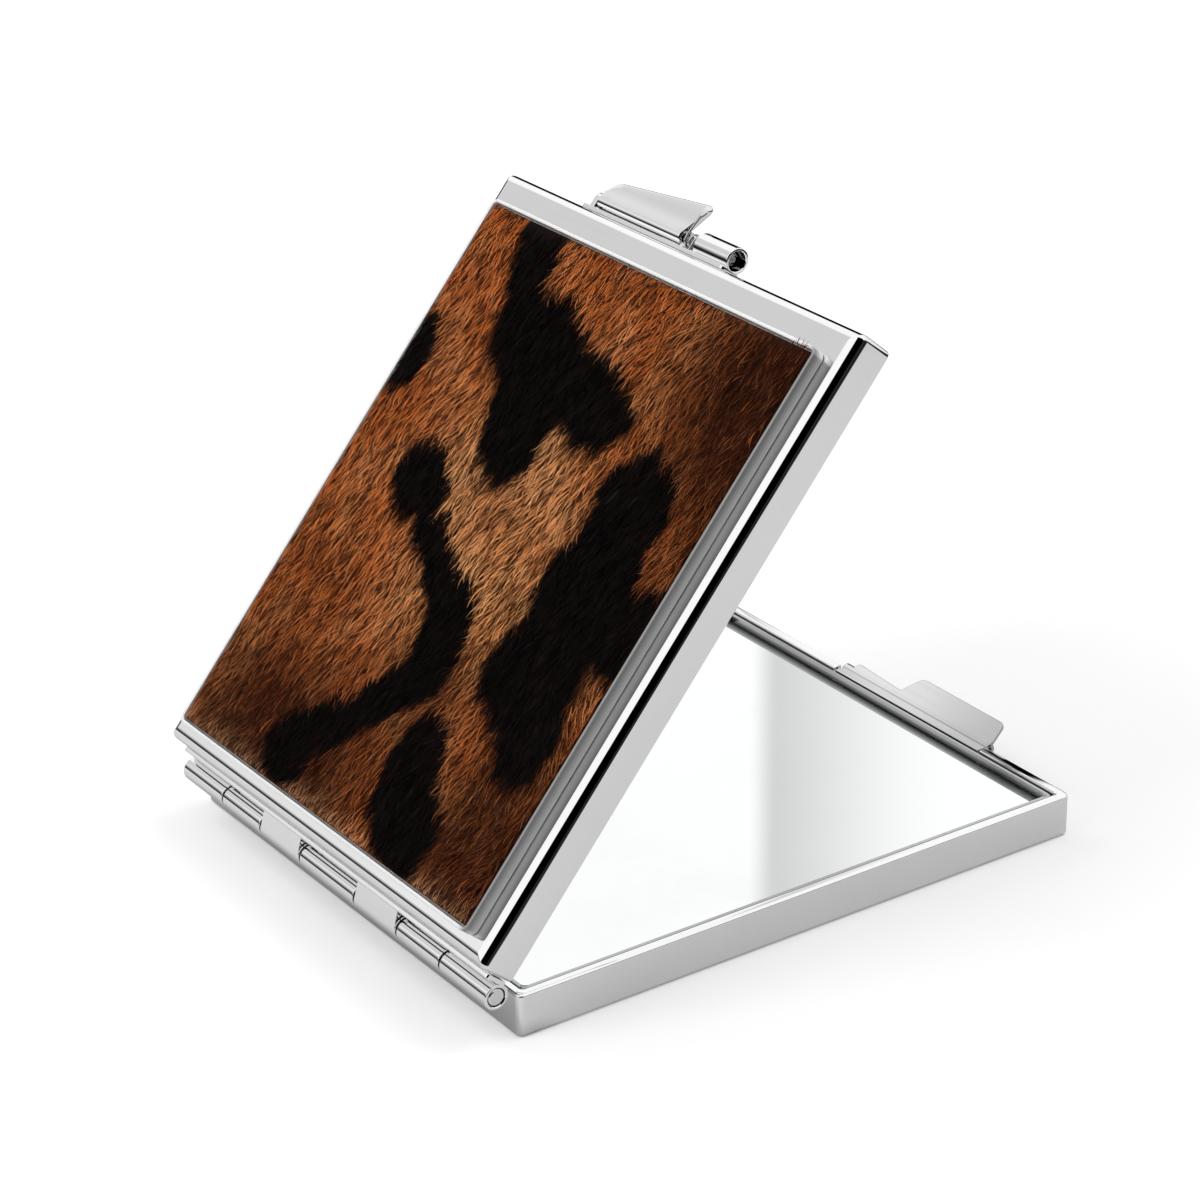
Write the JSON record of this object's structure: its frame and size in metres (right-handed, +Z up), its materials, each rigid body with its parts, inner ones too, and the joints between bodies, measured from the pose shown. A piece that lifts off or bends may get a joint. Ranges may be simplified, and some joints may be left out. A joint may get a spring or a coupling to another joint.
{
  "type": "pocket mirror",
  "caption": "Folding pocket mirror: two chromed trays with glass mirrors on a barrel hinge, a hide panel on the lid and a sprung catch lever.",
  "frame": {"origin": "centre of the base tray's underside", "axes": "+X along the hinge, +Y from the hinge to the catch, +Z up out of the base's mirror"},
  "size_m": [0.062, 0.0804, 0.0679],
  "materials": {
    "chrome": "polished",
    "bright_steel": "bright turned",
    "dark_steel": "dark satin",
    "mirror": "silvered glass",
    "foam": "matte",
    "board": "matte",
    "hide": "short brown hair with dark spots"
  },
  "bodies": {
    "base": {"base_shell": "chrome", "base_adhesive_pad": "foam", "base_mirror": "mirror", "base_mirror_frame": "dark_steel", "base_hinge_leaf": "chrome", "hinge_pin": "bright_steel", "keeper_rail": "chrome"},
    "lid": {"lid_shell": "chrome", "lid_adhesive_pad": "foam", "lid_mirror": "mirror", "lid_mirror_frame": "dark_steel", "lid_hinge_leaf": "chrome", "hide_tray": "chrome", "hide_board": "board", "hide_panel": "hide", "latch_bracket": "chrome", "lever_axle": "dark_steel", "lever_spring": "bright_steel"},
    "catch": {"catch_lever": "chrome"}
  },
  "joints": [
    {"name": "lid_hinge", "type": "hinge", "parent": "base", "child": "lid", "pos_m": [0, -0.03795, 0.00505], "axis": [1, 0, 0], "range_deg": [-50.2, 129.8]},
    {"name": "catch_pivot", "type": "hinge", "parent": "lid", "child": "catch", "pos_m": [0, 0.00856, 0.0647], "axis": [1, 0, 0], "range_deg": [0, 16], "stiffness_Nm_per_rad": 0.005, "springref_deg": -11.46, "deforming": ["lever_spring"]}
  ]
}
